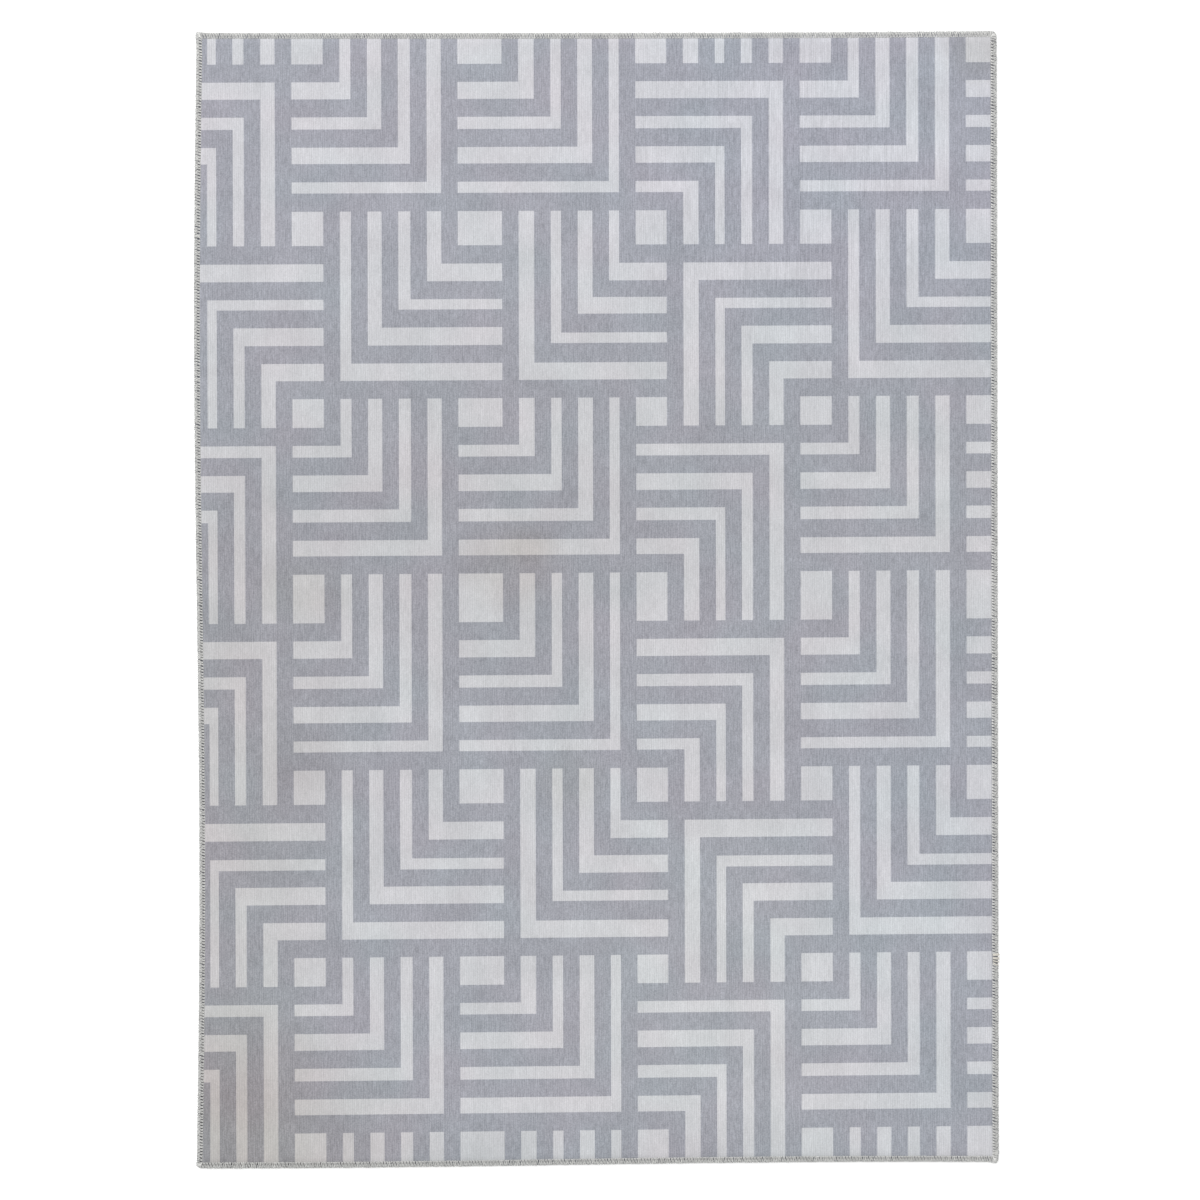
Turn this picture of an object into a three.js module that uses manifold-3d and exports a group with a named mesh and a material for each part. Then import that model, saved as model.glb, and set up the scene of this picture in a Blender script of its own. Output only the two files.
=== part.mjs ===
// Area rug with a printed low-pile face, laminated to a felt back and overlocked all the way round.
// Millimetres. The origin is the centre of the underside, where the rug lies on the floor.
// +X runs across the width, +Y along the length and +Z up, through the thickness.
import * as THREE from 'three';
import { mergeVertices } from 'three/addons/utils/BufferGeometryUtils.js';
import Module from 'manifold-3d';

// Overall sizes, taken over the edge stitching.
const rugWidth = 1200;
const rugLength = 1700;
const cornerRadius = 8;

// Thickness of each layer, from the floor up.
const gripHeight = 0.5;
const feltThickness = 2.0;
const filmThickness = 0.3;
const faceThickness = 2.2;

// Three-thread overlock. It wraps the cut edge and squeezes the layers that it covers.
const stitchWidth = 8;
const looperThickness = 0.7;
const needleThreadWidth = 0.9;
const edgeWrap = 0.8;
const threadClearance = 0.2;

// The knot where the run of stitching meets its own start, on the right-hand edge.
const knotLength = 14;
const knotDepth = 1.2;
const knotHeight = 3.6;
const knotAlong = -535;

// Care label: a folded satin tape caught in the stitching, lying under the front edge.
const labelWidth = 30;
const labelLength = 45;
const labelThickness = 0.4;
const labelFromSide = 170;
const labelClearance = 0.05;
const labelSeamClearance = 0.3;
const labelBayMargin = 3;

// How finely corners are rounded, and the radius left where an inset takes a corner away.
const cornerSteps = 8;
const tightestCorner = 1;

// Heights that several pieces share.
const feltBottom = gripHeight;
const filmBottom = feltBottom + feltThickness;
const faceBottom = filmBottom + filmThickness;
const rugTop = faceBottom + faceThickness;
const squeezedTop = rugTop - looperThickness;
const squeezedBottom = looperThickness;
const threadLockHeight = (squeezedBottom + squeezedTop) / 2;

// Distances in from the rug's outer edge that several pieces share.
const clothInset = edgeWrap + threadClearance;
const bandInset = stitchWidth + threadClearance;

const wasm = await Module();
wasm.setup();

function toSolid(geometry) {
  const bare = geometry.clone();
  bare.deleteAttribute('normal');
  bare.deleteAttribute('uv');
  const merged = mergeVertices(bare);
  const mesh = new wasm.Mesh({
    numProp: 3,
    vertProperties: merged.attributes.position.array,
    triVerts: new Uint32Array(merged.index.array),
  });
  return new wasm.Manifold(mesh);
}

function toGeometry(solid) {
  const mesh = solid.getMesh();
  const geometry = new THREE.BufferGeometry();
  geometry.setAttribute('position', new THREE.BufferAttribute(mesh.vertProperties, mesh.numProp));
  geometry.setIndex(new THREE.BufferAttribute(mesh.triVerts, 1));
  const faceted = geometry.toNonIndexed();
  faceted.computeVertexNormals();
  return faceted;
}

function join(first, second) {
  return toGeometry(toSolid(first).add(toSolid(second)));
}

function cut(body, tool) {
  return toGeometry(toSolid(body).subtract(toSolid(tool)));
}

// A rectangle with rounded corners, traced onto a THREE.Shape or THREE.Path.
function traceRectangle(path, left, right, front, back, radius) {
  path.moveTo(left + radius, front);
  path.lineTo(right - radius, front);
  path.absarc(right - radius, front + radius, radius, -Math.PI / 2, 0, false);
  path.lineTo(right, back - radius);
  path.absarc(right - radius, back - radius, radius, 0, Math.PI / 2, false);
  path.lineTo(left + radius, back);
  path.absarc(left + radius, back - radius, radius, Math.PI / 2, Math.PI, false);
  path.lineTo(left, front + radius);
  path.absarc(left + radius, front + radius, radius, Math.PI, Math.PI * 1.5, false);
  return path;
}

// The rug's outline, moved in from the outer edge.
function traceOutline(path, inset) {
  const halfWidth = rugWidth / 2 - inset;
  const halfLength = rugLength / 2 - inset;
  const radius = Math.max(cornerRadius - inset, tightestCorner);
  return traceRectangle(path, -halfWidth, halfWidth, -halfLength, halfLength, radius);
}

// A flat piece of the given outline. Its two faces sit exactly at bottom and top, so that layers
// which share a height meet without a gap or an overlap.
function slab(shape, bottom, top) {
  const geometry = new THREE.ExtrudeGeometry(shape, {
    depth: 1,
    bevelEnabled: false,
    curveSegments: cornerSteps,
  });
  const position = geometry.attributes.position;
  for (let i = 0; i < position.count; i++) {
    position.setZ(i, position.getZ(i) > 0.5 ? top : bottom);
  }
  return geometry;
}

function sheet(inset, bottom, top) {
  return slab(traceOutline(new THREE.Shape(), inset), bottom, top);
}

function ring(outerInset, innerInset, bottom, top) {
  const shape = traceOutline(new THREE.Shape(), outerInset);
  shape.holes.push(traceOutline(new THREE.Path(), innerInset));
  return slab(shape, bottom, top);
}

// The face cloth stands at full height inside the stitching and is squeezed thinner under it.
function faceCloth() {
  const squeezed = sheet(clothInset, faceBottom, squeezedTop);
  const pile = sheet(bandInset, squeezedTop, rugTop);
  return join(squeezed, pile);
}

function bondingFilm() {
  return sheet(clothInset, filmBottom, faceBottom);
}

function backingFelt() {
  const squeezed = sheet(clothInset, squeezedBottom, filmBottom);
  const full = sheet(bandInset, feltBottom, squeezedBottom);
  return join(squeezed, full);
}

// Where the label's flap starts, just inside the stitching on the front edge.
const labelSeam = -rugLength / 2 + stitchWidth + labelSeamClearance;
const labelMiddle = rugWidth / 2 - labelFromSide;

function labelOutline(margin) {
  const halfWidth = labelWidth / 2 + margin;
  return traceRectangle(
    new THREE.Shape(),
    labelMiddle - halfWidth,
    labelMiddle + halfWidth,
    labelSeam - margin,
    labelSeam + labelLength + margin,
    tightestCorner,
  );
}

// The printed grip, one sheet as high as its dots, left out over the label.
function gripDots() {
  const grip = sheet(bandInset, 0, gripHeight);
  const bay = slab(labelOutline(labelBayMargin), -gripHeight, gripHeight * 2);
  return cut(grip, bay);
}

function careLabel() {
  return slab(labelOutline(0), labelClearance, labelClearance + labelThickness);
}

// Each looper's thread lies on one face and wraps the cut edge to meet the other at mid-height.
function upperLooper() {
  const onTheFace = ring(0, stitchWidth - needleThreadWidth - threadClearance, squeezedTop, rugTop);
  const roundTheEdge = ring(0, edgeWrap, threadLockHeight, squeezedTop);
  return join(onTheFace, roundTheEdge);
}

function lowerLooper() {
  const onTheBack = ring(0, stitchWidth, 0, squeezedBottom);
  const roundTheEdge = ring(0, edgeWrap, squeezedBottom, threadLockHeight);
  return join(onTheBack, roundTheEdge);
}

function needleThread() {
  return ring(stitchWidth - needleThreadWidth, stitchWidth, squeezedTop, rugTop);
}

function startFinishKnot() {
  const edge = rugWidth / 2;
  const halfLength = knotLength / 2;
  const shape = new THREE.Shape();
  shape.moveTo(edge, knotAlong - halfLength);
  shape.lineTo(edge + knotDepth / 2, knotAlong - halfLength);
  shape.quadraticCurveTo(edge + knotDepth, knotAlong, edge + knotDepth / 2, knotAlong + halfLength);
  shape.lineTo(edge, knotAlong + halfLength);
  return slab(shape, threadLockHeight - knotHeight / 2, threadLockHeight + knotHeight / 2);
}

function piece(name, geometry, color, roughness) {
  const material = new THREE.MeshStandardMaterial({ color, roughness, metalness: 0 });
  const mesh = new THREE.Mesh(geometry, material);
  mesh.name = name;
  return mesh;
}

const layers = new THREE.Group();
layers.add(piece('face_cloth', faceCloth(), '#a5a7b0', 0.95));
layers.add(piece('bonding_film', bondingFilm(), '#e6e2d6', 0.6));
layers.add(piece('backing_felt', backingFelt(), '#bdb9b0', 1.0));
layers.add(piece('grip_dots', gripDots(), '#e9e7e0', 0.5));

const stitching = new THREE.Group();
stitching.add(piece('needle_thread', needleThread(), '#c4c4c0', 0.8));
stitching.add(piece('upper_looper_thread', upperLooper(), '#b4b4b0', 0.85));
stitching.add(piece('lower_looper_thread', lowerLooper(), '#b4b4b0', 0.85));
stitching.add(piece('start_finish_knot', startFinishKnot(), '#e3dccd', 0.85));

const rug = new THREE.Group();
rug.add(layers);
rug.add(stitching);
rug.add(piece('care_label', careLabel(), '#f2f0ea', 0.45));

export default rug;
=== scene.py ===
import math

import bpy
import numpy as np
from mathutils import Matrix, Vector


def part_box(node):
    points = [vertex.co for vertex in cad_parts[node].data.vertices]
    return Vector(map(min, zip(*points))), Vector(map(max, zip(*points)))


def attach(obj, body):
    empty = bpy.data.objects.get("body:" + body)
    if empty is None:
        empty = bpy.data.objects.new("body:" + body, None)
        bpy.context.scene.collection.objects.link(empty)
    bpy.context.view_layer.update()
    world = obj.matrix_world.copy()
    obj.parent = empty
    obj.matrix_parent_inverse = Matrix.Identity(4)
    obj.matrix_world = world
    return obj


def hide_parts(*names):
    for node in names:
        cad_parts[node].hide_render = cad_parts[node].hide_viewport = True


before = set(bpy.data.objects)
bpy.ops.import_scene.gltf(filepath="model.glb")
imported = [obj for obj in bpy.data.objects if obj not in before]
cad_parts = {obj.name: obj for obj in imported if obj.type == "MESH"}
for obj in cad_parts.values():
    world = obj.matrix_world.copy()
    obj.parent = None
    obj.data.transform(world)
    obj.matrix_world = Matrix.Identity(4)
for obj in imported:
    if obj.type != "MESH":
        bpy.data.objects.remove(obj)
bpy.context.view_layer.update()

# ---------------------------------------------------------------------------------------------
# Backing felt. A needle-punched sheet of grey polyester fibre, 2 mm thick, which gives the rug
# its body. It is cut out by hand, so its edges wander by a few millimetres, and the layers and
# the stitching above it follow the same cut.
# ---------------------------------------------------------------------------------------------
mm = 0.001
edge_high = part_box("upper_looper_thread")[1]
felt_low, felt_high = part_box("backing_felt")
half_width = edge_high.x
half_length = edge_high.y
corner_radius = 8 * mm
cloth_inset = half_width - felt_high.x
cut_hold = 9 * mm
cut_fade = 15 * mm


def cut_left(y):
    return -4 * mm * np.sin(math.pi * y / half_length)


def cut_right(y):
    return 1.5 * mm * (1 - y / half_length)


def cut_back(x):
    return 3 * mm * ((x + half_width) / (2 * half_width)) ** 4


def cut_front(x):
    share = (x + half_width) / (2 * half_width)
    return -3 * mm + 5 * mm * (1 - np.cos(math.pi * share / 0.9))


# Corners that were pulled or turned unevenly, in millimetres: (side x, side y, reach, move x,
# move y).
corner_pulls = [
    (-1, 1, 7, -1.2, 3.6),
    (-1, 1, 16, -1.6, 0.4),
    (1, -1, 9, -0.4, -3.4),
    (-1, -1, 7, -2.0, 0.6),
]


def near_edge(distance):
    """1 beside an edge and 0 well inside it."""
    return np.clip(1 - (distance - cut_hold) / cut_fade, 0, 1)


def settle(x, y, drift_x=0, drift_y=0):
    """Where a point of the true rectangle lies on the cut rug. Inside, it may drift as well."""
    left = near_edge(half_width + x)
    right = near_edge(half_width - x)
    front = near_edge(half_length + y)
    back = near_edge(half_length - y)
    cut_y = np.clip(y, -half_length, half_length)
    cut_x = np.clip(x, -half_width, half_width)
    new_x = x + (1 - left - right) * drift_x + left * cut_left(cut_y) + right * cut_right(cut_y)
    new_y = y + (1 - front - back) * drift_y + front * cut_front(cut_x) + back * cut_back(cut_x)
    for side_x, side_y, reach, move_x, move_y in corner_pulls:
        from_corner = np.hypot(x - side_x * half_width, y - side_y * half_length)
        pull = np.exp(-((from_corner / (reach * mm)) ** 2)) * mm
        new_x = new_x + pull * move_x
        new_y = new_y + pull * move_y
    return new_x, new_y


def round_corners(x, y, inset):
    """Turns the square corners of a sheet at that inset into quarter circles."""
    radius = corner_radius - inset
    dx = np.abs(x) - (half_width - inset - radius)
    dy = np.abs(y) - (half_length - inset - radius)
    in_corner = (dx > 0) & (dy > 0)
    scale = np.ones_like(x)
    reach = np.hypot(dx[in_corner], dy[in_corner])
    scale[in_corner] = np.maximum(dx[in_corner], dy[in_corner]) / reach
    new_x = np.where(in_corner, np.sign(x) * (np.abs(x) - dx + dx * scale), x)
    new_y = np.where(in_corner, np.sign(y) * (np.abs(y) - dy + dy * scale), y)
    return new_x, new_y


def waves(x, y, length, seed):
    """Smooth unevenness from -1 to 1, with bumps about that long, the same on every run."""
    rng = np.random.default_rng(seed)
    total = np.zeros_like(x)
    for _ in range(7):
        turn = rng.uniform(0, 2 * math.pi)
        pitch = length * rng.uniform(0.7, 1.6)
        phase = rng.uniform(0, 2 * math.pi)
        total += np.sin((x * math.cos(turn) + y * math.sin(turn)) * 2 * math.pi / pitch + phase)
    return total / 7


def lines_between(low, high, spacing):
    return np.linspace(low, high, max(2, int(round((high - low) / spacing)) + 1))


# The layers are squeezed from their cut edge to the inside of the stitching.
hem_inside = 10.4 * mm
hem_insets = np.array([cloth_inset, 2.2 * mm, 4.2 * mm, 6.4 * mm, 9 * mm, hem_inside])
hem_clearance = 1.2 * mm


def with_hem_lines(lines, half):
    """Grid lines inside the stitching, plus the closer ones that shape the squeezed edge."""
    hem = half - hem_insets
    inside = lines[np.abs(lines) < half - hem_inside - hem_clearance]
    return np.concatenate([-hem, inside, hem[::-1]])


def make_piece(name, points, faces, materials, face_materials=None, bake=None):
    mesh = bpy.data.meshes.new(name)
    mesh.from_pydata(points, [], faces)
    for material in materials:
        mesh.materials.append(material)
    if face_materials is not None:
        mesh.polygons.foreach_set("material_index", face_materials)
    if bake is not None:
        layer = mesh.uv_layers.new(name="OFBake")
        layer.data.foreach_set("uv", np.asarray(bake, np.float32).ravel())
    mesh.shade_smooth()
    mesh.update()
    piece = bpy.data.objects.new(name, mesh)
    bpy.context.scene.collection.objects.link(piece)
    return piece


# On the bake map, the fine side lies to the left, the rim is a strip round it, and the flat side
# is a small copy to the right.
map_span = 2 * half_length + 20 * mm
map_left = 0.14
map_rim = 0.002
map_copy_share = 0.25
map_copy_place = np.array([0.87, 0.5])


def laid_sheet(name, points, back_height, face_up, materials, front_materials=None):
    """A closed sheet. Its fine side is the grid of points, and its other side is flat."""
    rows, columns = points.shape[:2]
    index = np.arange(rows * columns).reshape(rows, columns)
    corners = [index[:-1, :-1], index[1:, :-1], index[1:, 1:], index[:-1, 1:]]
    quads = np.stack(corners, axis=-1).reshape(-1, 4)
    rim = np.concatenate([index[:-1, 0], index[-1, :-1], index[:0:-1, -1], index[0, :0:-1]])
    flat = points.reshape(-1, 3)
    back = flat[rim].copy()
    back[:, 2] = back_height
    lower = np.arange(len(rim)) + rows * columns
    walls = np.stack([lower, np.roll(lower, -1), np.roll(rim, -1), rim], axis=-1)
    under = lower[::-1]
    if not face_up:
        quads = quads[:, ::-1]
        walls = walls[:, ::-1]
        under = under[::-1]
    everything = np.concatenate([flat, back])
    unrolled = everything[:, :2] / map_span + 0.5
    unrolled[:, 0] -= map_left
    unrolled[lower] += back[:, :2] / np.array([half_width, half_length]) * map_rim
    small = everything[:, :2] / map_span * map_copy_share + map_copy_place
    bake = np.concatenate([unrolled[quads.ravel()], unrolled[walls.ravel()], small[under]])
    face_materials = np.zeros(len(quads) + len(walls) + 1, np.int32)
    if front_materials is not None:
        face_materials[: len(quads)] = front_materials.ravel()
    faces = quads.tolist() + walls.tolist() + [under.tolist()]
    return make_piece(name, everything, faces, materials, face_materials, bake)


def start_finish(name, colour, roughness):
    """A new material, its node tree, its shader and the object's own coordinates in metres."""
    material = bpy.data.materials.new(name)
    material.use_nodes = True
    material.diffuse_color = (*colour, 1)
    tree = material.node_tree
    shader = tree.nodes["Principled BSDF"]
    shader.inputs["Base Color"].default_value = (*colour, 1)
    shader.inputs["Roughness"].default_value = roughness
    place = tree.nodes.new("ShaderNodeTexCoord").outputs["Object"]
    return material, tree, shader, place


def add(tree, kind, inputs=None, **settings):
    made = tree.nodes.new("ShaderNode" + kind)
    for name, value in settings.items():
        setattr(made, name, value)
    for socket, value in (inputs or {}).items():
        if isinstance(value, bpy.types.NodeSocket):
            tree.links.new(value, made.inputs[socket])
        else:
            made.inputs[socket].default_value = value
    return made


def stretched(tree, place, x, y, z=1, turn=0):
    mapping = add(tree, "Mapping", {"Vector": place, "Scale": (x, y, z), "Rotation": (0, 0, turn)})
    return mapping.outputs["Vector"]


def grain(tree, place, scale, low, high, detail=2):
    """Soft noise, spread evenly from low to high."""
    noise = add(tree, "TexNoise", {"Vector": place, "Scale": scale, "Detail": detail})
    spread = {"Value": noise.outputs["Fac"], "From Min": 0.3, "From Max": 0.7}
    spread.update({"To Min": low, "To Max": high})
    return add(tree, "MapRange", spread).outputs["Result"]


def blend_in(tree, under, over, share, way="MIX"):
    """One colour laid over another, by a share that is a number or a socket."""
    mix = add(tree, "Mix", {0: share, 6: under, 7: over}, data_type="RGBA", blend_type=way)
    return mix.outputs[2]


def shade(tree, colour, factor):
    """A colour made lighter or darker by a factor round 1."""
    grey = add(tree, "CombineColor", {"Red": factor, "Green": factor, "Blue": factor})
    return blend_in(tree, colour, grey.outputs["Color"], 1, "MULTIPLY")


def roughen(tree, shader, height, depth, strength):
    bump = add(tree, "Bump", {"Height": height, "Distance": depth, "Strength": strength})
    tree.links.new(bump.outputs["Normal"], shader.inputs["Normal"])


felt_grey = (0.46, 0.44, 0.4)
felt, tree, shader, place = start_finish("needled_felt", felt_grey, 0.95)
shader.inputs["Sheen Weight"].default_value = 0.2
fibres = grain(tree, stretched(tree, place, 900, 260), 1, 0.8, 1.16, 4)
clouds = grain(tree, place, 30, 0.93, 1.06)
# Painted shade: the needle holes are darker.
needle_holes = add(tree, "TexVoronoi", {"Vector": place, "Scale": 330})
painted_hole_shade = add(tree, "MapRange", {"Value": needle_holes.outputs["Distance"], "From Max": 0.35})
painted_hole_shade.inputs["To Min"].default_value = 0.72
mottled = shade(tree, shade(tree, (*felt_grey, 1), fibres), clouds)
tree.links.new(shade(tree, mottled, painted_hole_shade.outputs["Result"]), shader.inputs["Base Color"])
roughen(tree, shader, fibres, 0.4 * mm, 0.8)

felt_spacing = 8 * mm
felt_unevenness = 0.05 * mm
hem_slope = 1.4 * mm
hem_squeeze = 0.2 * mm
felt_x = with_hem_lines(lines_between(-half_width, half_width, felt_spacing), half_width)
felt_y = with_hem_lines(lines_between(-half_length, half_length, felt_spacing), half_length)
grid_x, grid_y = np.meshgrid(felt_x, felt_y, indexing="ij")
hem_depth = np.minimum(half_width - np.abs(grid_x), half_length - np.abs(grid_y))
squeezed = np.clip((hem_inside - hem_depth) / hem_slope, 0, 1)
felt_under = felt_low.z + felt_unevenness * (1 + waves(grid_x, grid_y, 40 * mm, 3))
felt_under += squeezed * hem_squeeze
round_x, round_y = round_corners(grid_x, grid_y, cloth_inset)
felt_x_cut, felt_y_cut = settle(round_x, round_y)
felt_points = np.stack([felt_x_cut, felt_y_cut, felt_under], axis=-1)
backing = laid_sheet("felt_back", felt_points, felt_high.z, False, [felt])
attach(backing, "rug")
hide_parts("backing_felt")

# ---------------------------------------------------------------------------------------------
# Grip dots. Soft off-white rubber compound, screen-printed on the felt in staggered rows and
# cured there. They carry the rug on the floor, and they leave a bay where the label lies.
# ---------------------------------------------------------------------------------------------
dots_low, dots_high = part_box("grip_dots")
label_low, label_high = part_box("care_label")
dot_pitch = 18.5 * mm
dot_radius = 2.5 * mm
dot_foot_share = 0.72
dot_sink = 0.12 * mm
dot_sides = 8
dot_margin = 7 * mm

row_pitch = dot_pitch * math.sin(math.pi / 3)
dot_x = np.arange(dots_low.x + dot_margin, dots_high.x - dot_margin, dot_pitch)
dot_y = np.arange(dots_low.y + dot_margin, dots_high.y - dot_margin, row_pitch)
centre_x, centre_y = np.meshgrid(dot_x, dot_y, indexing="ij")
centre_x = centre_x + np.where(np.arange(len(dot_y)) % 2, dot_pitch / 2, 0)
centres = np.stack([centre_x.ravel(), centre_y.ravel()], axis=-1)
bay = dot_margin + 1 * mm
over_label = (centres[:, 0] > label_low.x - bay) & (centres[:, 0] < label_high.x + bay)
over_label &= centres[:, 1] < label_high.y + bay
past_edge = centres[:, 0] > dots_high.x - dot_margin
centres = centres[~(over_label | past_edge)]
centres = np.stack(settle(centres[:, 0], centres[:, 1]), axis=-1)
dot_rng = np.random.default_rng(11)
dot_size = dot_radius * dot_rng.uniform(0.92, 1.06, len(centres))

around = np.arange(dot_sides) * 2 * math.pi / dot_sides
compass = np.stack([np.cos(around), np.sin(around)], axis=-1)
dot_points = np.zeros((len(centres), 2 * dot_sides, 3))
root = compass[None] * dot_size[:, None, None]
dot_points[:, :dot_sides, :2] = centres[:, None] + root
dot_points[:, :dot_sides, 2] = dots_high.z + dot_sink
dot_points[:, dot_sides:, :2] = centres[:, None] + root * dot_foot_share
dot_points[:, dot_sides:, 2] = dots_low.z
turn = np.arange(dot_sides)
after = (turn + 1) % dot_sides
dot_walls = np.stack([turn, turn + dot_sides, after + dot_sides, after], axis=-1)
dot_faces = []
for number in range(len(centres)):
    first = number * 2 * dot_sides
    dot_faces.extend((dot_walls + first).tolist())
    dot_faces.append((turn + first).tolist())
    dot_faces.append((turn[::-1] + dot_sides + first).tolist())

rubber_white = (0.8, 0.78, 0.72)
rubber, tree, shader, place = start_finish("grip_rubber", rubber_white, 0.45)
speckle = grain(tree, place, 900, 0.94, 1.04, 3)
wear = grain(tree, place, 14, 0.86, 1.03)
worn_rubber = shade(tree, shade(tree, (*rubber_white, 1), speckle), wear)
tree.links.new(worn_rubber, shader.inputs["Base Color"])
roughen(tree, shader, speckle, 0.1 * mm, 0.5)
dots = make_piece("grip_dot_print", dot_points.reshape(-1, 3), dot_faces, [rubber])
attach(dots, "rug")
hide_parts("grip_dots")

# ---------------------------------------------------------------------------------------------
# Bonding film. A milky hot-melt film, 0.3 mm thick, that the heated press melts between felt
# and face. It is cut with them and only shows as a thin line inside the stitched edge.
# ---------------------------------------------------------------------------------------------
film_low, film_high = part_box("bonding_film")
film_cream = (0.79, 0.76, 0.68)
melt, tree, shader, place = start_finish("hot_melt_film", film_cream, 0.55)
shader.inputs["Subsurface Weight"].default_value = 0.1
pebbled = grain(tree, place, 260, 0.88, 1.06, 3)
tree.links.new(shade(tree, (*film_cream, 1), pebbled), shader.inputs["Base Color"])
roughen(tree, shader, pebbled, 0.15 * mm, 0.6)

film_spacing = 40 * mm
film_x = with_hem_lines(lines_between(-half_width, half_width, film_spacing), half_width)
film_y = with_hem_lines(lines_between(-half_length, half_length, film_spacing), half_length)
grid_x, grid_y = np.meshgrid(film_x, film_y, indexing="ij")
round_x, round_y = round_corners(grid_x, grid_y, cloth_inset)
film_x_cut, film_y_cut = settle(round_x, round_y)
film_points = np.stack([film_x_cut, film_y_cut, np.full_like(grid_x, film_high.z)], axis=-1)
film = laid_sheet("bonding_layer", film_points, film_low.z, True, [melt])
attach(film, "rug")
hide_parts("bonding_film")

# ---------------------------------------------------------------------------------------------
# Printed face. Polyester pile knitted in fine ribs and printed with nested right-angle stripes,
# off-white on grey. The print comes off the roller a little out of square with the cut, and the
# ink stops sharply, so each stripe has clean edges.
# ---------------------------------------------------------------------------------------------
face_low, face_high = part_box("face_cloth")
rib_pitch = 3.3 * mm
rib_depth = 0.3 * mm
rib_waver = 0.3
nap_margin = 0.1 * mm
hem_top = face_high.z - 1.15 * mm
pile_start = 8.8 * mm
pile_rise = 2.4 * mm
cut_rounding = 0.5 * mm
cut_rounded_from = 3 * mm
cut_rounded_over = 2 * mm

# Each unit of the print is one square and the four stripes after it, with ground between, and
# each number is a width in millimetres.
ground_across = 24.8 * mm
ground_along = 27.0 * mm
column_units = {
    "narrow": (47, 16.4, 21, 18, 21.3),
    "wide": (66, 23, 15.5, 22, 15),
    "even": (46, 23, 14, 16.5, 21.5),
}
row_units = {
    "tall": (72.5, 25.7, 18.2, 24.4, 16.5),
    "middle": (50.5, 26.2, 15.5, 27, 25.9),
    "short": (42.8, 17.5, 25, 18.8, 23.2),
}
first_column = -698.4 * mm
first_row = 1136.7 * mm

# Where the cloth slipped along the roller as it was printed, in millimetres: (y, reach, slip).
print_slips = [
    (-402, 20, -1.9),
    (-370, 90, -1.3),
    (480, 90, -1.2),
    (120, 60, 0.9),
    (-700, 100, 1.0),
    (700, 80, 0.7),
]


def repeat_units(units, order, start, ground, direction):
    """The print's squares and stripes in order, as (kind, square, stripes) with their two sides."""
    repeat = []
    at = start
    for kind in order:
        marks = []
        for size in units[kind]:
            marks.append((at, at + direction * size * mm))
            at += direction * (size * mm + ground)
        repeat.append((kind, marks[0], marks[1:]))
    return repeat


column_order = ["even", "narrow", "wide"] * 2 + ["even"]
row_order = ["short", "tall", "middle"] * 3
columns = repeat_units(column_units, column_order, first_column, ground_across, 1)
rows = repeat_units(row_units, row_order, first_row, ground_along, -1)

blocks = []


def print_block(x_sides, y_sides):
    blocks.append((min(x_sides), max(x_sides), min(y_sides), max(y_sides)))


for _, column, _ in columns:
    for _, row, _ in rows:
        print_block(column, row)

# Between four squares, four stripes turn a corner round one of the squares. Beside the even
# columns they turn round the square below, and under the middle rows round the one to the right.
for number in range(len(columns) - 1):
    column_kind, column, x_stripes = columns[number]
    next_column = columns[number + 1][1]
    for step in range(len(rows) - 1):
        row_kind, row, y_stripes = rows[step]
        next_row = rows[step + 1][1]
        if (column_kind, row_kind) == ("wide", "middle"):
            swap = row[1] - ground_along
            y_stripes = [
                y_stripes[0],
                (swap - 51.2 * mm, swap - 76.2 * mm),
                (swap - 104.7 * mm, swap - 120.4 * mm),
                y_stripes[3],
            ]
        round_right = row_kind == "middle"
        round_below = column_kind == "even"
        outward_x = [side[::-1] for side in x_stripes[::-1]] if round_right else x_stripes
        outward_y = [side[::-1] for side in y_stripes[::-1]] if round_below else y_stripes
        far_x = next_column[1] if round_right else column[0]
        far_y = next_row[1] if round_below else row[0]
        for x_stripe, y_stripe in zip(outward_x, outward_y):
            print_block(x_stripe, (far_y, y_stripe[1]))
            print_block((far_x, x_stripe[1]), y_stripe)

print_x = np.unique(np.round([side for block in blocks for side in block[:2]], 6))
print_y = np.unique(np.round([side for block in blocks for side in block[2:]], 6))


def keep_apart(lines, edges, gap):
    """The lines that stay clear of the printed edges, with the edges added."""
    distance = np.min(np.abs(lines[:, None] - edges[None]), axis=1)
    return np.sort(np.concatenate([lines[distance > gap], edges]))


least_rib_gap = 0.45 * mm
weft_spacing = 19 * mm
least_weft_gap = 6 * mm
rib_lines = np.arange(-half_width, half_width, rib_pitch / 2)
face_x = with_hem_lines(keep_apart(rib_lines, print_x, least_rib_gap), half_width)
weft_lines = lines_between(-half_length, half_length, weft_spacing)
face_y = with_hem_lines(keep_apart(weft_lines, print_y, least_weft_gap), half_length)

middle_x = (face_x[1:] + face_x[:-1]) / 2
middle_y = (face_y[1:] + face_y[:-1]) / 2
inked = np.zeros((len(middle_x), len(middle_y)), np.int32)
for left, right, front, back in blocks:
    inside_x = (middle_x > left) & (middle_x < right)
    inside_y = (middle_y > front) & (middle_y < back)
    inked[np.ix_(inside_x, inside_y)] = 1

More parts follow.
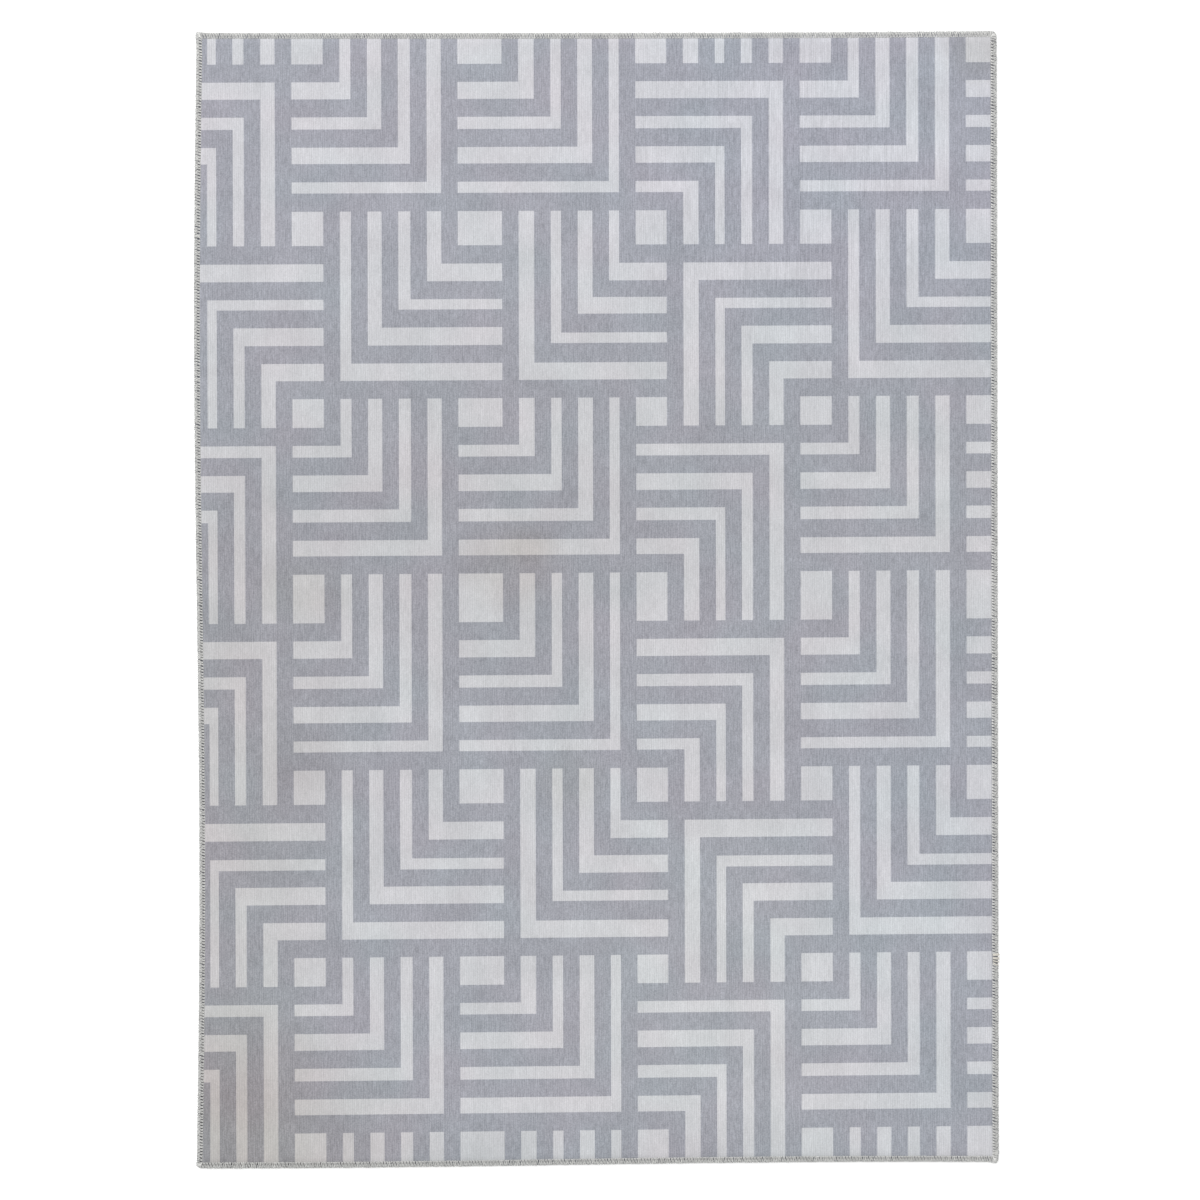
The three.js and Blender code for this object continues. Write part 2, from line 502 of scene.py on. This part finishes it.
grid_x, grid_y = np.meshgrid(face_x, face_y, indexing="ij")
hem_depth = np.minimum(half_width - np.abs(grid_x), half_length - np.abs(grid_y))
pile = np.clip((hem_depth - pile_start) / pile_rise, 0, 1)
pile = pile * pile * (3 - 2 * pile)
ribs = 0.5 + 0.5 * np.cos((grid_x + half_width) * 2 * math.pi / rib_pitch)
ribs *= 1 + rib_waver * waves(grid_x, grid_y, 30 * mm, 21)
small_hollows = 0.12 * mm * waves(grid_x, grid_y, 55 * mm, 5)
wide_hollows = 0.1 * mm * waves(grid_x, grid_y, 210 * mm, 6)
pile_top = face_high.z - nap_margin - rib_depth * (1 - ribs) + (small_hollows + wide_hollows)
near_cut = np.clip((cut_rounded_from - hem_depth) / cut_rounded_over, 0, 1)
face_z = hem_top - cut_rounding * near_cut + pile * (pile_top - hem_top)

# The print drifts against the cut: it runs askew, and it is stretched a little.
drift_y = (0.0074 - 0.005 * grid_y) * grid_x + 0.0011 * grid_y + 0.5 * mm
for at, reach, slip in print_slips:
    drift_y += slip * mm * np.exp(-(((grid_y - at * mm) / (reach * mm)) ** 2))
drift_x = (0.002 * grid_x - 0.0026) * grid_y + 0.0032 * grid_x
round_x, round_y = round_corners(grid_x, grid_y, cloth_inset)
face_x_cut, face_y_cut = settle(round_x, round_y, drift_x, drift_y)
face_points = np.stack([face_x_cut, face_y_cut, face_z], axis=-1)

# Places where the pile is tinted, in millimetres: (x, y, reach x, reach y, tint). The pile is
# lighter over the back and darker at the front left.
tinted_places = [
    (0, 800, 2400, 480, (1.06, 1.055, 1.07)),
    (450, 700, 550, 500, (0.985, 0.998, 1.015)),
    (-620, -300, 300, 560, (0.945, 0.925, 0.905)),
    (-620, -900, 420, 330, (0.86, 0.82, 0.78)),
    (-200, 80, 450, 260, (0.96, 0.95, 0.945)),
    (250, -560, 420, 300, (1.035, 1.04, 1.03)),
    (500, -450, 260, 500, (0.985, 1, 1.015)),
    (110, -880, 330, 130, (0.95, 0.95, 0.95)),
    (-125, 52, 95, 80, (0.935, 0.925, 0.9)),
    (-105, 78, 50, 40, (0.965, 0.96, 0.94)),
    (-435, 15, 90, 60, (0.955, 0.95, 0.93)),
    (-432, -246, 95, 80, (0.935, 0.935, 0.93)),
    (-40, -270, 70, 60, (0.96, 0.95, 0.93)),
    (578, 824, 70, 60, (0.92, 0.91, 0.88)),
    (-141, -830, 90, 50, (0.94, 0.94, 0.94)),
    (-510, -720, 110, 230, (0.965, 0.962, 0.945)),
    (-510, 120, 100, 160, (0.965, 0.96, 0.958)),
]

# How far the cooler and warmer patches of dye change red, green and blue.
cool_change = (-0.045, 0.018, 0.01)
warm_change = (0.035, -0.016, 0)

# Pile that the stitching presses flat is painted darker than pile that stands: painted shade in the
# gaps between the stitches. Along the back edge this painted shade is weaker: painted light there.
painted_gap_shade = 0.45
back_edge_gap_shade = 0.8
back_edge_from = 14 * mm
back_edge_to = 9 * mm
standing_height = 0.5 * mm


def soft_spot(tree, place, x, y, reach_x, reach_y, full_from):
    """The share of an oval spot, in millimetres, that fades out towards its edge."""
    spot = add(tree, "Mapping", {"Vector": place}, vector_type="TEXTURE")
    spot.inputs["Location"].default_value = (x * mm, y * mm, 0)
    spot.inputs["Scale"].default_value = (reach_x * mm, reach_y * mm, 1)
    ball = add(tree, "TexGradient", {"Vector": spot.outputs["Vector"]}, gradient_type="SPHERICAL")
    share = add(tree, "MapRange", {"Value": ball.outputs["Fac"], "From Max": full_from})
    return share.outputs["Result"]


def calculate(tree, operation, *values):
    return add(tree, "Math", dict(enumerate(values)), operation=operation).outputs[0]


def printed_pile(name, colour, contrast, tinge):
    """Printed pile: patches, tinted places, tufts, streaks, fibres, ribs, painted shade and painted
    sheen.
    """
    material, tree, shader, place = start_finish(name, colour, 0.92)
    shader.inputs["Sheen Weight"].default_value = 0.12
    shader.inputs["Sheen Roughness"].default_value = 0.6
    shader.inputs["Specular IOR Level"].default_value = 0.25
    cool = tuple(part * (1 + tinge * change) for part, change in zip(colour, cool_change))
    warm = tuple(part * (1 + tinge * change) for part, change in zip(colour, warm_change))
    patches = grain(tree, place, 9, 0, 1, 1)
    ink = blend_in(tree, (*cool, 1), (*warm, 1), patches)
    for x, y, reach_x, reach_y, tint in tinted_places:
        spot = soft_spot(tree, place, x, y, reach_x, reach_y, 0.6)
        ink = blend_in(tree, ink, (*tint, 1), spot, "MULTIPLY")
    tuft_change = 0.1 * contrast
    streak_change = 0.08 * contrast
    along_ribs = stretched(tree, place, 420, 60)
    tufts = grain(tree, place, 480, 1 - tuft_change, 1 + tuft_change, 2)
    streaks = grain(tree, along_ribs, 1, 1 - streak_change, 1 + streak_change)
    long_streaks = grain(tree, stretched(tree, place, 60, 4), 1, 0.975, 1.025)
    clouds = grain(tree, place, 14, 0.945, 1.055, 3)
    fibres = grain(tree, stretched(tree, place, 4200, 1500), 1, 0.84, 1.14, 2)
    # Painted shade: the furrows between the ribs are darker.
    loom = add(tree, "SeparateXYZ", {"Vector": add(tree, "UVMap", uv_map="loom").outputs["UV"]})
    rib_angle = calculate(tree, "MULTIPLY", loom.outputs["X"], 2 * math.pi / rib_pitch)
    rib = calculate(tree, "COSINE", rib_angle)
    painted_furrow_shade = add(tree, "MapRange", {"Value": rib, "From Min": -1, "To Min": 0.93, "To Max": 1.03})
    for factor in (tufts, streaks, long_streaks, clouds, fibres, painted_furrow_shade.outputs["Result"]):
        ink = shade(tree, ink, factor)
    # Over the back right quarter, a hand brushed the nap aslant; its sheen is painted as streaks.
    brushed = stretched(tree, place, 240, 16, 1, math.radians(-40))
    nap_sheen_strokes = grain(tree, brushed, 1, 0.93, 1.07, 2)
    quarter = soft_spot(tree, place, 300, 640, 340, 300, 0.5)
    ink = blend_in(tree, ink, shade(tree, ink, nap_sheen_strokes), quarter)
    # Painted shade under the stitching, weaker along the back edge as painted light.
    on_rug = add(tree, "SeparateXYZ", {"Vector": place})
    darkest_gap_shade = add(tree, "MapRange", {"Value": on_rug.outputs["Y"]})
    darkest_gap_shade.inputs["From Min"].default_value = half_length - back_edge_from
    darkest_gap_shade.inputs["From Max"].default_value = half_length - back_edge_to
    darkest_gap_shade.inputs["To Min"].default_value = painted_gap_shade
    darkest_gap_shade.inputs["To Max"].default_value = back_edge_gap_shade
    painted_gap_shading = add(tree, "MapRange", {"Value": on_rug.outputs["Z"], "To Min": darkest_gap_shade.outputs["Result"]})
    painted_gap_shading.inputs["From Min"].default_value = hem_top
    painted_gap_shading.inputs["From Max"].default_value = hem_top + standing_height
    ink = shade(tree, ink, painted_gap_shading.outputs["Result"])
    tree.links.new(ink, shader.inputs["Base Color"])
    roughen(tree, shader, calculate(tree, "ADD", tufts, fibres), 0.3 * mm, 0.6)
    return material


ground_ink = printed_pile("grey_pile", (0.3115, 0.318, 0.3535), 1.5, 0.6)
motif_ink = printed_pile("off_white_pile", (0.535, 0.536, 0.555), 0.72, 0.45)
face = laid_sheet("printed_face", face_points, face_low.z, True, [ground_ink, motif_ink], inked)
loom_places = np.stack([grid_x + half_width, face_y_cut], axis=-1).reshape(-1, 2)
corner_points = np.zeros(len(face.data.loops), np.int32)
face.data.loops.foreach_get("vertex_index", corner_points)
on_back = corner_points >= len(loom_places)
corner_points[on_back] = 0
loom_map = face.data.uv_layers.new(name="loom")
loom_map.data.foreach_set("uv", loom_places[corner_points].astype(np.float32).ravel())
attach(face, "rug")
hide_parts("face_cloth")

# ---------------------------------------------------------------------------------------------
# Overlock threads. Three spun polyester threads sewn round the edge in one run, about 1350
# stitches. The needle thread runs along the inside, the upper looper lies on the face in slanted
# pairs, and the lower looper lies on the back and comes over the edge to lock with it.
# ---------------------------------------------------------------------------------------------
stitch_length = 4.3 * mm
straight_x = half_width - corner_radius
straight_y = half_length - corner_radius
corner_arc = corner_radius * math.pi / 2
run_lengths = [2 * straight_y, corner_arc, 2 * straight_x, corner_arc] * 2
run_marks = np.concatenate([[0], np.cumsum(run_lengths)])
run_x = np.array([1, 1, 1, -1, -1, -1, -1, 1, 1]) * straight_x
run_y = np.array([-1, 1, 1, 1, 1, -1, -1, -1, -1]) * straight_y
run_heading = np.array([0, 0, 1, 1, 2, 2, 3, 3, 4]) * math.pi / 2
edge_run = run_marks[-1]
knot_low, knot_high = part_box("start_finish_knot")
knot_middle = (knot_low.y + knot_high.y) / 2
run_start = knot_middle + straight_y
stitch_count = int(round(edge_run / stitch_length))
knot_gap = 3
past_knot = 2.3

# Uneven tension moves a strand's ends the most, and its place along the edge and height less.
along_share = 0.4
upward_share = 0.25


def edge_point(stitches, inset, height):
    """A point of the stitching, by stitches round the edge from the knot, inset and height."""
    along = (run_start - stitches / stitch_count * edge_run) % edge_run
    x = np.interp(along, run_marks, run_x)
    y = np.interp(along, run_marks, run_y)
    heading = np.interp(along, run_marks, run_heading)
    out = corner_radius - inset
    cut_x, cut_y = settle(x + out * np.cos(heading), y + out * np.sin(heading))
    return np.stack([cut_x, cut_y, height + 0 * cut_x], axis=-1)


def sew(stitch, seed, unevenness, loose_parts=None):
    """One thread's whole run, from its places in one stitch: (part, inset in mm, height in mm)."""
    part, inset, height = (np.array(column, float) for column in zip(*stitch))
    number = np.arange(stitch_count - knot_gap) + past_knot
    parts = np.tile(part, (len(number), 1))
    if loose_parts is not None:
        on_short_side = np.abs(edge_point(number, 0 * number, 0 * number)[:, 1]) > straight_y
        parts[on_short_side] = loose_parts
    rng = np.random.default_rng(seed)
    along, inward, upward, outermost = rng.normal(0, unevenness, (4, len(number), 1))
    stitches = number[:, None] + parts + along * along_share
    insets = (inset + inward * (inset > 5) + outermost * (inset < 1)) * mm
    heights = (height + upward * upward_share * (height > 1)) * mm
    return edge_point(stitches.ravel(), insets.ravel(), heights.ravel())


square_margin = 0.07


def thread(name, path, radius, flatten, material, per_stitch, sides=5):
    """A closed tube along the path. Each stitch has its own square of the bake map."""
    steps = np.roll(path, -1, axis=0) - np.roll(path, 1, axis=0)
    steps[0] = path[1] - path[0]
    steps[-1] = path[-1] - path[-2]
    ahead = steps / np.linalg.norm(steps, axis=1)[:, None]
    side = Vector((0, 0, 1)).cross(Vector(ahead[0])).normalized()
    across = np.zeros_like(path)
    for number, direction in enumerate(ahead):
        forward = Vector(direction)
        side = (side - forward * side.dot(forward)).normalized()
        across[number] = side
    upward = np.cross(ahead, across)
    turns = np.arange(sides) * 2 * math.pi / sides
    ring = across[:, None] * np.cos(turns)[None, :, None]
    ring = ring + upward[:, None] * np.sin(turns)[None, :, None]
    offset = ring * radius
    offset[:, :, 2] *= flatten
    points = (path[:, None] + offset).reshape(-1, 3)
    count = len(path)
    number, corner = np.meshgrid(np.arange(count - 1), np.arange(sides), indexing="ij")
    here = number * sides + corner
    beside = number * sides + (corner + 1) % sides
    quads = np.stack([here, beside, beside + sides, here + sides], axis=-1).reshape(-1, 4)
    start_cap = np.arange(sides)[::-1]
    end_cap = np.arange(sides) + (count - 1) * sides
    faces = quads.tolist() + [start_cap.tolist(), end_cap.tolist()]
    squares = math.ceil(math.sqrt(count / per_stitch + 1))
    stitch = number // per_stitch
    corner_u = np.stack([number, number, number + 1, number + 1], axis=-1)
    corner_u = corner_u - stitch[..., None] * per_stitch
    corner_v = np.stack([corner, corner + 1, corner + 1, corner], axis=-1)
    cell = np.stack([stitch % squares, stitch // squares], axis=-1)[:, :, None, :]
    inside = np.stack([corner_u / per_stitch, corner_v / sides], axis=-1)
    inside = inside * (1 - 2 * square_margin) + square_margin
    bake = ((cell + inside) / squares).reshape(-1, 2)
    caps = np.full((2 * sides, 2), 0.5 / squares)
    piece = make_piece(name, points, faces, [material], None, np.concatenate([bake, caps]))
    lengths = np.concatenate([[0], np.cumsum(np.linalg.norm(np.diff(path, axis=0), axis=1))])
    start = lengths[number]
    end = lengths[number + 1]
    ends = np.stack([start, start, end, end], axis=-1)
    twist = np.stack([ends / mm, corner_v / sides], axis=-1).reshape(-1, 2)
    twist = np.concatenate([twist, np.zeros((2 * sides, 2))]).astype(np.float32)
    layer = piece.data.uv_layers.new(name="twist")
    layer.data.foreach_set("uv", twist.ravel())
    return piece


turns_per_mm = 0.8


def spun_yarn(name, colour, plies, low=0.82, high=1.06):
    """Spun thread: plies with painted shade between them, loose fibre, uneven dye and painted light.
    """
    material, tree, shader, place = start_finish(name, colour, 0.8)
    shader.inputs["Sheen Weight"].default_value = 0.25
    shader.inputs["Specular IOR Level"].default_value = 0.35
    twist_map = add(tree, "UVMap", uv_map="twist")
    unrolled = add(tree, "SeparateXYZ", {"Vector": twist_map.outputs["UV"]})
    wound = calculate(tree, "MULTIPLY", unrolled.outputs["X"], turns_per_mm)
    lay = calculate(tree, "MULTIPLY_ADD", unrolled.outputs["Y"], plies, wound)
    ply = calculate(tree, "SINE", calculate(tree, "MULTIPLY", lay, 2 * math.pi))
    # Painted shade: the grooves between the plies are darker, and the same pattern gives the bump.
    ply_grooves_and_shade = add(tree, "MapRange", {"Value": ply, "From Min": -1, "To Min": low, "To Max": high})
    fuzz = grain(tree, place, 1500, 0.88, 1.08, 3)
    dye = grain(tree, place, 60, 0.9, 1.05, 2)
    # Painted light: the thread is lighter towards the back of the rug, as the pile is.
    on_rug = add(tree, "SeparateXYZ", {"Vector": place})
    painted_back_light = add(tree, "MapRange", {"Value": on_rug.outputs["Y"]})
    painted_back_light.inputs["From Min"].default_value = -half_length
    painted_back_light.inputs["From Max"].default_value = half_length
    painted_back_light.inputs["To Min"].default_value = 0.97
    painted_back_light.inputs["To Max"].default_value = 1.12
    yarn = shade(tree, shade(tree, (*colour, 1), ply_grooves_and_shade.outputs["Result"]), fuzz)
    yarn = shade(tree, shade(tree, yarn, dye), painted_back_light.outputs["Result"])
    tree.links.new(yarn, shader.inputs["Base Color"])
    roughen(tree, shader, ply_grooves_and_shade.outputs["Result"], 0.3 * mm, 0.8)
    return material


light_yarn = spun_yarn("light_edge_yarn", (0.74, 0.74, 0.72), 3)
grey_yarn = spun_yarn("grey_edge_yarn", (0.48, 0.485, 0.48), 3)

needle_stitch = [
    (0.00, 8.6, 0.35), (0.06, 8.6, 2.6), (0.12, 8.6, 4.1), (0.22, 8.6, 4.75), (0.38, 8.55, 4.95),
    (0.54, 8.6, 4.8), (0.66, 8.6, 4.2), (0.76, 8.6, 2.6),
]
needle_path = sew(needle_stitch, 31, 0.15)
needle = thread("needle_stitches", needle_path, 0.36 * mm, 0.9, light_yarn, len(needle_stitch))
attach(needle, "rug")
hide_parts("needle_thread")

upper_stitch = [
    (0.16, 9.3, 4.2), (0.24, 8.4, 4.8), (0.33, 6.0, 4.9), (0.43, 3.8, 4.85), (0.53, 1.9, 4.65),
    (0.66, 0.6, 3.9), (0.86, 0.45, 3.7), (1.02, 1.9, 4.6), (0.88, 3.8, 4.85), (0.68, 6.0, 4.85),
    (0.48, 8.4, 4.8), (0.52, 9.3, 4.2), (0.70, 9.4, 3.6), (1.00, 9.4, 3.6),
]
# On the short sides this thread is looser, so that its strands lie further apart.
looser_parts = [0.12, 0.19, 0.27, 0.37, 0.50, 0.66, 0.86, 1.02, 0.90, 0.76, 0.64, 0.66, 0.75, 1.0]
upper_path = sew(upper_stitch, 32, 0.22, looser_parts)
upper = thread("upper_looper_stitches", upper_path, 0.5 * mm, 0.72, light_yarn, len(upper_stitch))
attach(upper, "rug")
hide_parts("upper_looper_thread")

lower_stitch = [
    (0.30, 7.4, 0.45), (0.40, 4.2, 0.45), (0.50, 1.2, 0.65), (0.58, 0.3, 2.4), (0.66, 0.9, 4.1),
    (0.69, 2.9, 4.45), (0.80, 4.9, 4.5), (1.06, 4.9, 4.5), (1.17, 2.9, 4.45), (1.20, 0.9, 4.1),
    (1.16, 0.3, 2.4), (1.16, 1.2, 0.65), (1.24, 4.2, 0.45),
]
lower_path = sew(lower_stitch, 33, 0.2)
lower = thread("lower_looper_stitches", lower_path, 0.58 * mm, 0.7, grey_yarn, len(lower_stitch))
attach(lower, "rug")
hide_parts("lower_looper_thread")

# ---------------------------------------------------------------------------------------------
# Start and finish knot. Where the run of stitching meets its own start, on the right-hand edge,
# a thicker cream thread is whipped over the edge in five turns, and its end is tucked in.
# ---------------------------------------------------------------------------------------------
cream_yarn = spun_yarn("cream_knot_yarn", (0.72, 0.69, 0.62), 3, 0.75, 1.06)
knot_thread_radius = 0.88 * mm
knot_thread_sides = 8
knot_reach = 8.0
points_between = 4

# The turns by place and by lean towards the edge, both in stitches.
knot_turns = [(-0.8, -0.1), (-0.42, -0.12), (0.4, 0.05), (0.74, 0.1), (1.45, 0.4)]

# One turn, as (inset, height) in millimetres: up through the cloth, over the face and the edge,
# and back underneath.
one_turn = [
    (7.2, 1.3), (8.1, 3.4), (7.9, 4.7), (5.4, 5.15), (2.4, 5.1), (0.2, 4.4), (-0.9, 3.2),
    (-0.9, 1.9), (0.4, 1.0), (3.0, 0.9), (5.8, 0.9),
]
knot_path = []
for start, lean in knot_turns:
    for inset, height in one_turn:
        stitches = start + lean * (1 - inset / knot_reach)
        knot_path.append((stitches, inset * mm, height * mm))

# The tail after the last turn, as (stitches, inset, height).
tail = [
    (2.2, 7.6, 1.3), (2.2, 8.0, 3.6), (2.3, 7.4, 4.7),
    (2.6, 5.0, 5.1), (2.9, 2.6, 5.1), (2.9, 0.8, 4.9),
]
for stitches, inset, height in tail:
    knot_path.append((stitches, inset * mm, height * mm))
knot_stitches, knot_insets, knot_heights = (np.array(column) for column in zip(*knot_path))
fine = np.linspace(0, len(knot_path) - 1, points_between * len(knot_path))
whole = np.arange(len(knot_path))
smooth_knot = edge_point(
    np.interp(fine, whole, knot_stitches),
    np.interp(fine, whole, knot_insets),
    np.interp(fine, whole, knot_heights),
)
for _ in range(3):
    smooth_knot[1:-1] = (smooth_knot[:-2] + 2 * smooth_knot[1:-1] + smooth_knot[2:]) / 4
points_per_turn = points_between * len(one_turn)
knot = thread(
    "knot_of_cream_thread", smooth_knot, knot_thread_radius, 0.85, cream_yarn,
    points_per_turn, knot_thread_sides,
)
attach(knot, "rug")
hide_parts("start_finish_knot")

# ---------------------------------------------------------------------------------------------
# Care label. A blank white satin tape, folded once into a loop, with both its ends caught in
# the front edge's stitching. It lies flat under the rug and flaps out in front of it.
# ---------------------------------------------------------------------------------------------
tape_thickness = 0.13 * mm
label_bottom = label_low.z + tape_thickness / 2
label_top = label_high.z - tape_thickness / 2
fold_radius = (label_top - label_bottom) / 2
leg_end = label_high.y - fold_radius - tape_thickness / 2
fold_steps = 9
leg_steps = 24
width_steps = 13
fold_angles = np.linspace(-math.pi / 2, math.pi / 2, fold_steps)
leg = np.linspace(label_low.y, leg_end, leg_steps)
fold_y = leg_end + fold_radius * np.cos(fold_angles)
fold_z = (label_top + label_bottom) / 2 + fold_radius * np.sin(fold_angles)
tape_y = np.concatenate([leg, fold_y[1:-1], leg[::-1]])
lower_leg = np.full(len(leg), label_bottom)
upper_leg = np.full(len(leg), label_top)
tape_z = np.concatenate([lower_leg, fold_z[1:-1], upper_leg])
tape_line = np.stack([tape_y, tape_z], axis=-1)
tape_step = np.gradient(tape_line, axis=0)
tape_out = np.stack([tape_step[:, 1], -tape_step[:, 0]], axis=-1)
tape_out /= np.linalg.norm(tape_out, axis=1)[:, None]
tape_outer = tape_line + tape_out * tape_thickness / 2
tape_inner = tape_line - tape_out * tape_thickness / 2
tape_x = np.linspace(label_low.x, label_high.x, width_steps)
tape_ring = np.concatenate([tape_outer, tape_inner[::-1]])
tape_points = np.zeros((len(tape_x), len(tape_ring), 3))
tape_points[:, :, 0] = tape_x[:, None]
tape_points[:, :, 1:] = tape_ring[None]
ring_count = len(tape_ring)
tape_quads = []
for number in range(len(tape_x) - 1):
    for corner in range(ring_count):
        here = number * ring_count + corner
        beside = number * ring_count + (corner + 1) % ring_count
        tape_quads.append([here, here + ring_count, beside + ring_count, beside])
side_strip = len(tape_line)
last = (len(tape_x) - 1) * ring_count
for corner in range(side_strip - 1):
    opposite = ring_count - 1 - corner
    tape_quads.append([corner, corner + 1, opposite - 1, opposite])
    tape_quads.append([last + opposite, last + opposite - 1, last + corner + 1, last + corner])

satin_white = (0.69, 0.68, 0.65)
satin, tree, shader, place = start_finish("label_satin_tape", satin_white, 0.4)
shader.inputs["Sheen Weight"].default_value = 0.3
shader.inputs["Anisotropic"].default_value = 0.4
warp = grain(tree, stretched(tree, place, 9000, 600), 1, 0.9, 1.04, 2)
weft = add(tree, "TexWave", {"Vector": place, "Scale": 900}, bands_direction="Y")
tree.links.new(shade(tree, (*satin_white, 1), warp), shader.inputs["Base Color"])
roughen(tree, shader, calculate(tree, "ADD", weft.outputs["Fac"], warp), 0.05 * mm, 0.4)
label = make_piece("folded_care_label", tape_points.reshape(-1, 3), tape_quads, [satin])
label.data.set_sharp_from_angle(angle=math.radians(40))
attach(label, "label")
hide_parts("care_label")

# ---------------------------------------------------------------------------------------------
# Studio. A plain white floor just under the rug, lit a little from below as well so that it
# takes no shadow, even light from all round, one soft light from the back left that shows the
# ribs, and a long lens straight above.
# ---------------------------------------------------------------------------------------------
floor_size = 40
floor_height = -0.6 * mm
floor_mesh = bpy.data.meshes.new("floor")
corners = [(-1, -1), (1, -1), (1, 1), (-1, 1)]
floor_points = [(x * floor_size / 2, y * floor_size / 2, floor_height) for x, y in corners]
floor_mesh.from_pydata(floor_points, [], [(0, 1, 2, 3)])
floor_paint, tree, shader, place = start_finish("white_floor", (0.8, 0.8, 0.8), 0.9)
shader.inputs["Specular IOR Level"].default_value = 0
shader.inputs["Emission Color"].default_value = (1, 1, 1, 1)
shader.inputs["Emission Strength"].default_value = 0.45
floor_mesh.materials.append(floor_paint)
floor = bpy.data.objects.new("floor", floor_mesh)
bpy.context.scene.collection.objects.link(floor)

world = bpy.data.worlds.new("studio")
world.use_nodes = True
world.node_tree.nodes["Background"].inputs["Color"].default_value = (1, 1, 1, 1)
world.node_tree.nodes["Background"].inputs["Strength"].default_value = 0.7
bpy.context.scene.world = world

window = bpy.data.lights.new("soft_window", "SUN")
window.energy = 2.17
window.angle = math.radians(25)
window_stand = bpy.data.objects.new("soft_window", window)
window_stand.rotation_euler = Vector((0.5, -0.75, -0.9)).to_track_quat("-Z", "Y").to_euler()
bpy.context.scene.collection.objects.link(window_stand)

frame_across = 1.798
lens = 90
sensor_width = 36
camera_data = bpy.data.cameras.new("camera")
camera_data.lens = lens
camera_data.sensor_width = sensor_width
camera = bpy.data.objects.new("camera", camera_data)
camera.location = (5.1 * mm, -0.6 * mm, face_high.z + frame_across * lens / sensor_width)
bpy.context.scene.collection.objects.link(camera)
bpy.context.scene.camera = camera
bpy.context.scene.view_settings.view_transform = "Standard"

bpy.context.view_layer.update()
